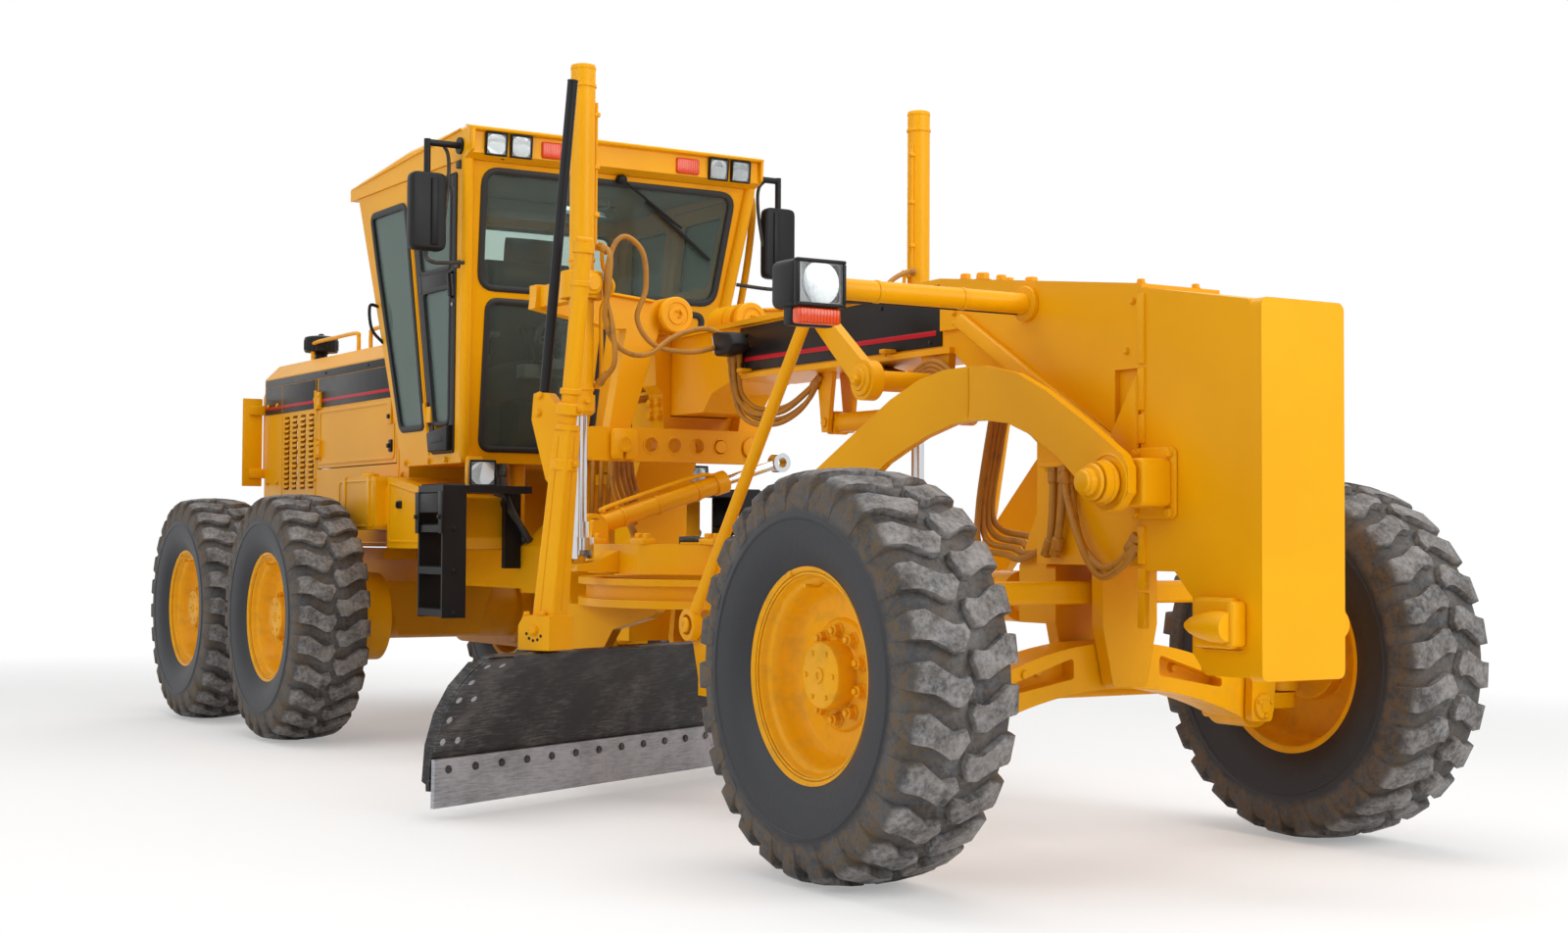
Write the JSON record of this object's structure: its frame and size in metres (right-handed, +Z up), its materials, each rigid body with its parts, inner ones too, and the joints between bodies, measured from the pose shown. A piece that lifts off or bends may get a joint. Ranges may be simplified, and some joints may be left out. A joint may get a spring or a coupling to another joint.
{
  "type": "motor grader",
  "caption": "Articulated motor grader with gooseneck front frame, circle-mounted moldboard, mid scarifier, cab, engine hood and tandem rear wheels.",
  "frame": {"origin": "on the ground at the middle of the machine's overall length and width", "axes": "+X forward, +Y to the machine's left, +Z up"},
  "size_m": [8.54, 3.2518, 3.045],
  "materials": {
    "yellow_paint": "satin",
    "black_paint": "satin",
    "tyre": "matt",
    "chrome": "polished",
    "blade_steel": "worn"
  },
  "bodies": {
    "rear_frame": {"rear_frame": "yellow_paint", "engine": "black_paint", "engine_hood": "yellow_paint", "grille": "black_paint", "cab_shell": "yellow_paint", "cab_roof": "yellow_paint", "seat": "black_paint", "console": "black_paint", "mirrors": "black_paint", "ladders": "black_paint", "side_boxes": "yellow_paint"},
    "front_frame": {"front_frame": "yellow_paint", "push_block": "yellow_paint", "headlight_bar": "black_paint", "lift_saddle": "yellow_paint", "lift_arms": "yellow_paint", "link_bar": "yellow_paint", "lift_barrels": "yellow_paint", "scarifier_barrel": "yellow_paint"},
    "axle": {"front_axle": "yellow_paint"},
    "lean_right": {"lean_bracket_right": "yellow_paint"},
    "steer_right": {"knuckle_right": "yellow_paint"},
    "wheel_front_right": {"tyre_front_right": "tyre", "rim_front_right": "yellow_paint"},
    "tandem_right": {"tandem_case_right": "yellow_paint"},
    "wheel_tandem_front_right": {"tyre_tandem_front_right": "tyre", "rim_tandem_front_right": "yellow_paint"},
    "wheel_tandem_rear_right": {"tyre_tandem_rear_right": "tyre", "rim_tandem_rear_right": "yellow_paint"},
    "cab_door_right": {"cab_door_right": "black_paint"},
    "hood_door_right": {"hood_door_right": "yellow_paint"},
    "lean_left": {"lean_bracket_left": "yellow_paint"},
    "steer_left": {"knuckle_left": "yellow_paint"},
    "wheel_front_left": {"tyre_front_left": "tyre", "rim_front_left": "yellow_paint"},
    "tandem_left": {"tandem_case_left": "yellow_paint"},
    "wheel_tandem_front_left": {"tyre_tandem_front_left": "tyre", "rim_tandem_front_left": "yellow_paint"},
    "wheel_tandem_rear_left": {"tyre_tandem_rear_left": "tyre", "rim_tandem_rear_left": "yellow_paint"},
    "cab_door_left": {"cab_door_left": "black_paint"},
    "hood_door_left": {"hood_door_left": "yellow_paint"},
    "lean_bar": {"lean_bar": "yellow_paint"},
    "tie_rod_end": {"tie_rod_end": "black_paint"},
    "tie_rod": {"tie_rod": "black_paint"},
    "lift_rods": {"lift_rods": "chrome"},
    "centreshift_rod": {"centreshift_rod": "chrome"},
    "centreshift_barrel": {"centreshift_barrel": "yellow_paint"},
    "drawbar": {"drawbar": "yellow_paint"},
    "circle": {"circle_ring": "yellow_paint", "blade_arms": "yellow_paint"},
    "tip": {"tilt_bracket": "yellow_paint"},
    "blade": {"moldboard": "blade_steel", "cutting_edge": "blade_steel", "mast": "yellow_paint"},
    "scarifier": {"draft_arms": "yellow_paint", "shank_bar": "blade_steel"},
    "rocker": {"rocker": "yellow_paint"},
    "scarifier_links": {"scarifier_links": "yellow_paint"},
    "scarifier_rod": {"scarifier_rod": "chrome"}
  },
  "joints": [
    {"name": "articulation", "type": "hinge", "parent": "rear_frame", "child": "front_frame", "pos_m": [-0.17, 0, 1], "axis": [0, 0, 1], "range_deg": [-20, 20]},
    {"name": "axle_swing", "type": "hinge", "parent": "front_frame", "child": "axle", "pos_m": [3.33, 0, 0.662], "axis": [1, 0, 0], "range_deg": [-14, 14]},
    {"name": "lean_right", "type": "hinge", "parent": "axle", "child": "lean_right", "pos_m": [3.33, -0.64, 0.5], "axis": [1, 0, 0], "range_deg": [-18, 18]},
    {"name": "lean_left", "type": "hinge", "parent": "axle", "child": "lean_left", "pos_m": [3.33, 0.64, 0.5], "axis": [1, 0, 0], "range_deg": [-18, 18]},
    {"name": "lean_bar_pin", "type": "hinge", "parent": "lean_right", "child": "lean_bar", "pos_m": [3.33, -0.64, 0.905], "axis": [1, 0, 0], "range_deg": [-18, 18]},
    {"name": "steer_right", "type": "hinge", "parent": "lean_right", "child": "steer_right", "pos_m": [3.33, -0.845, 0.655], "axis": [0, 0, 1], "range_deg": [-40, 40]},
    {"name": "steer_left", "type": "hinge", "parent": "lean_left", "child": "steer_left", "pos_m": [3.33, 0.845, 0.655], "axis": [0, 0, 1], "range_deg": [-40, 40]},
    {"name": "tie_rod_swivel", "type": "hinge", "parent": "steer_right", "child": "tie_rod_end", "pos_m": [3.094, -0.845, 0.545], "axis": [0, 0, 1], "range_deg": [-40, 40]},
    {"name": "tie_rod_pin", "type": "hinge", "parent": "tie_rod_end", "child": "tie_rod", "pos_m": [3.094, -0.845, 0.545], "axis": [1, 0, 0], "range_deg": [-14, 14]},
    {"name": "spin_front_right", "type": "hinge", "parent": "steer_right", "child": "wheel_front_right", "pos_m": [3.33, -1.035, 0.655], "axis": [0, 1, 0], "continuous": true},
    {"name": "tandem_swing_right", "type": "hinge", "parent": "rear_frame", "child": "tandem_right", "pos_m": [-2.77, -0.7, 0.655], "axis": [0, 1, 0], "range_deg": [-12, 12]},
    {"name": "spin_tandem_front_right", "type": "hinge", "parent": "tandem_right", "child": "wheel_tandem_front_right", "pos_m": [-2.005, -1.035, 0.655], "axis": [0, 1, 0], "continuous": true},
    {"name": "spin_tandem_rear_right", "type": "hinge", "parent": "tandem_right", "child": "wheel_tandem_rear_right", "pos_m": [-3.535, -1.035, 0.655], "axis": [0, 1, 0], "continuous": true},
    {"name": "spin_front_left", "type": "hinge", "parent": "steer_left", "child": "wheel_front_left", "pos_m": [3.33, 1.035, 0.655], "axis": [0, 1, 0], "continuous": true},
    {"name": "tandem_swing_left", "type": "hinge", "parent": "rear_frame", "child": "tandem_left", "pos_m": [-2.77, 0.7, 0.655], "axis": [0, 1, 0], "range_deg": [-12, 12]},
    {"name": "spin_tandem_front_left", "type": "hinge", "parent": "tandem_left", "child": "wheel_tandem_front_left", "pos_m": [-2.005, 1.035, 0.655], "axis": [0, 1, 0], "continuous": true},
    {"name": "spin_tandem_rear_left", "type": "hinge", "parent": "tandem_left", "child": "wheel_tandem_rear_left", "pos_m": [-3.535, 1.035, 0.655], "axis": [0, 1, 0], "continuous": true},
    {"name": "drawbar_lift", "type": "hinge", "parent": "front_frame", "child": "drawbar", "pos_m": [2.88, 0, 0.88], "axis": [0, 1, 0], "range_deg": [-0.8, 8]},
    {"name": "lift_rods", "type": "slide", "parent": "front_frame", "child": "lift_rods", "axis": [0, 0, 1], "range_m": [-0.03, 0.27]},
    {"name": "circle_turn", "type": "hinge", "parent": "drawbar", "child": "circle", "pos_m": [1.03, 0, 0.86], "axis": [0, 0, -1], "range_deg": [-20, 60]},
    {"name": "blade_tip", "type": "hinge", "parent": "circle", "child": "tip", "pos_m": [0.49528, -0.24934, 0.33], "axis": [-0.4226, 0.9063, 0], "range_deg": [-10, 15]},
    {"name": "blade_shift", "type": "slide", "parent": "tip", "child": "blade", "axis": [-0.4226, 0.9063, 0], "range_m": [-0.45, 0.25]},
    {"name": "centreshift_swing", "type": "hinge", "parent": "front_frame", "child": "centreshift_rod", "pos_m": [0.745, 0.3, 1.43], "axis": [1, 0, 0], "range_deg": [-17.6, 2]},
    {"name": "centreshift_stroke", "type": "slide", "parent": "centreshift_rod", "child": "centreshift_barrel", "axis": [0, -0.9536, -0.3011], "range_m": [-0.05, 0.006]},
    {"name": "scarifier_lift", "type": "hinge", "parent": "front_frame", "child": "scarifier", "pos_m": [3.782, 0, 1.265], "axis": [0, 1, 0], "range_deg": [-7.4, 3]},
    {"name": "rocker_turn", "type": "hinge", "parent": "front_frame", "child": "rocker", "pos_m": [2.57, 0, 1.66], "axis": [0, 1, 0], "range_deg": [-30.5, 12.7]},
    {"name": "scarifier_link_swing", "type": "hinge", "parent": "rocker", "child": "scarifier_links", "pos_m": [2.24, 0, 1.93], "axis": [0, 1, 0], "range_deg": [-9, 21.5]},
    {"name": "scarifier_stroke", "type": "slide", "parent": "front_frame", "child": "scarifier_rod", "axis": [1, 0, 0], "range_m": [-0.022, 0.052]},
    {"name": "cab_door_right", "type": "hinge", "parent": "rear_frame", "child": "cab_door_right", "pos_m": [-1.055, -0.73077, 2.1], "axis": [0, -0.0991, 0.9951], "range_deg": [-90, 0]},
    {"name": "hood_door_right", "type": "hinge", "parent": "rear_frame", "child": "hood_door_right", "pos_m": [-3.11, -0.553, 1.76], "axis": [0, 0, 1], "range_deg": [-90, 0]},
    {"name": "cab_door_left", "type": "hinge", "parent": "rear_frame", "child": "cab_door_left", "pos_m": [-1.055, 0.73077, 2.1], "axis": [0, 0.0991, 0.9951], "range_deg": [0, 90]},
    {"name": "hood_door_left", "type": "hinge", "parent": "rear_frame", "child": "hood_door_left", "pos_m": [-3.11, 0.553, 1.76], "axis": [0, 0, 1], "range_deg": [0, 90]}
  ],
  "couplings": [
    {"joint": "lean_left", "follows": "lean_right", "ratio": 1},
    {"joint": "lean_bar_pin", "follows": "lean_right", "ratio": -1},
    {"joint": "steer_left", "follows": "steer_right", "ratio": 1},
    {"joint": "tie_rod_swivel", "follows": "steer_right", "ratio": -1},
    {"joint": "tie_rod_pin", "follows": "lean_right", "ratio": -0.757},
    {"joint": "lift_rods", "follows": "drawbar_lift", "m_per_rad": 1.82},
    {"joint": "centreshift_swing", "follows": "drawbar_lift", "ratio": -2.15},
    {"joint": "centreshift_stroke", "follows": "drawbar_lift", "m_per_rad": -0.331},
    {"joint": "rocker_turn", "follows": "scarifier_lift", "ratio": 4.05},
    {"joint": "scarifier_link_swing", "follows": "scarifier_lift", "ratio": -2.85},
    {"joint": "scarifier_stroke", "follows": "scarifier_lift", "m_per_rad": -0.39}
  ]
}
